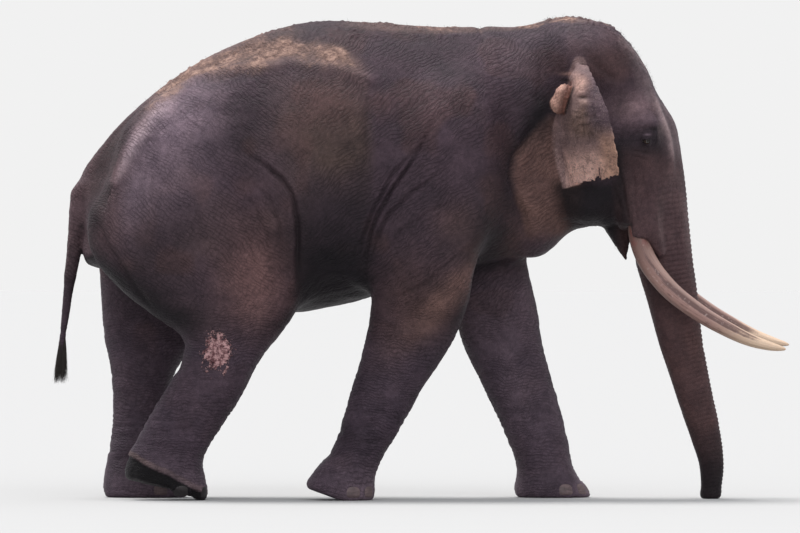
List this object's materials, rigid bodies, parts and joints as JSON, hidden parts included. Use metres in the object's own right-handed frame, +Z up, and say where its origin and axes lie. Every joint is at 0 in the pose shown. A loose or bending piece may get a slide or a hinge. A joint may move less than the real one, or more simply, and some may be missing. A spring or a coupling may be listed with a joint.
{
  "type": "asian elephant bull, walking",
  "caption": "Life-size still model of an adult Asian elephant bull in mid-stride, head to the right of its profile, trunk hanging to the ground, long forward-curving tusks and ragged ears.",
  "frame": {"origin": "middle of the bounding box in plan, at the level of the ground the feet stand on", "axes": "+X towards the head, +Y to the animal's left, +Z up"},
  "size_m": [4.4428, 1.6352, 2.8949],
  "materials": {
    "hide": "dry wrinkled elephant hide, dusty on the back and crown",
    "ivory": "worn ivory, stained brown at the root and cream at the tip",
    "eye": "wet dark brown eye",
    "nail": "dull worn toenail horn",
    "hair": "coarse black tail hair"
  },
  "bodies": {
    "root": {"torso": "hide", "neck": "hide", "tail_upper": "hide", "tail_lower": "hide", "tail_tuft": "hair", "leg_hind_right": "hide", "foot_hind_right": "hide", "nail_hind_right_1": "nail", "nail_hind_right_2": "nail", "nail_hind_right_3": "nail", "nail_hind_right_4": "nail", "leg_hind_left": "hide", "foot_hind_left": "hide", "nail_hind_left_1": "nail", "nail_hind_left_2": "nail", "nail_hind_left_3": "nail", "nail_hind_left_4": "nail", "leg_fore_right": "hide", "foot_fore_right": "hide", "nail_fore_right_1": "nail", "nail_fore_right_2": "nail", "nail_fore_right_3": "nail", "nail_fore_right_4": "nail", "nail_fore_right_5": "nail", "leg_fore_left": "hide", "foot_fore_left": "hide", "nail_fore_left_1": "nail", "nail_fore_left_2": "nail", "nail_fore_left_3": "nail", "nail_fore_left_4": "nail", "nail_fore_left_5": "nail", "head": "hide", "trunk_upper": "hide", "trunk_middle": "hide", "trunk_lower": "hide", "lower_jaw": "hide", "ear_right": "hide", "tusk_right": "ivory", "eye_right": "eye", "ear_left": "hide", "tusk_left": "ivory", "eye_left": "eye"}
  },
  "joints": []
}
